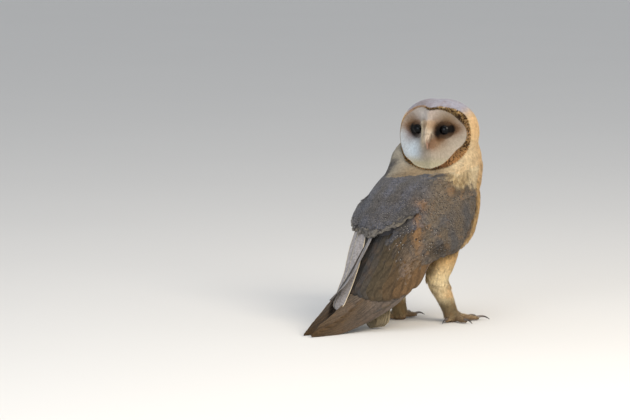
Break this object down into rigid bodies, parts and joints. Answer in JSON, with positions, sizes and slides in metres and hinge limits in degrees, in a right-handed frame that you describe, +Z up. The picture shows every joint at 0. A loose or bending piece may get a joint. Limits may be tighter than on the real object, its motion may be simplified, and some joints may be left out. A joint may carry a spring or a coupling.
{
  "type": "barn owl figure",
  "caption": "Standing barn owl, a still life-size display figure with folded wings, one foot a step ahead and the heart-shaped face looking back over its right shoulder.",
  "frame": {"origin": "on the floor, under the middle of the whole bird's bounding box", "axes": "+Z up; -Y the way the trunk faces, so the tail points to +Y; -X the owl's own right side"},
  "size_m": [0.1308, 0.2782, 0.2715],
  "materials": {
    "crown": "soft plumage",
    "ruff": "soft plumage",
    "slate": "soft plumage",
    "tail_brown": "stiff feathers",
    "buff": "soft plumage",
    "shank": "short bristly plumage",
    "toe": "scaled skin",
    "horn": "satin horn",
    "bill": "satin horn",
    "eye": "polished"
  },
  "bodies": {
    "root": {"head": "crown", "neck": "ruff", "trunk": "slate", "wing_right": "slate", "wing_left": "slate", "primaries_right": "slate", "primaries_left": "slate", "tail": "tail_brown", "thigh_right": "buff", "thigh_left": "buff", "tarsus_right": "shank", "tarsus_left": "shank", "foot_right": "toe", "foot_left": "toe", "bill": "bill", "eye_right": "eye", "eye_left": "eye", "claw_hallux_right": "horn", "claw_inner_right": "horn", "claw_middle_right": "horn", "claw_outer_right": "horn", "claw_hallux_left": "horn", "claw_inner_left": "horn", "claw_middle_left": "horn", "claw_outer_left": "horn"}
  },
  "joints": []
}
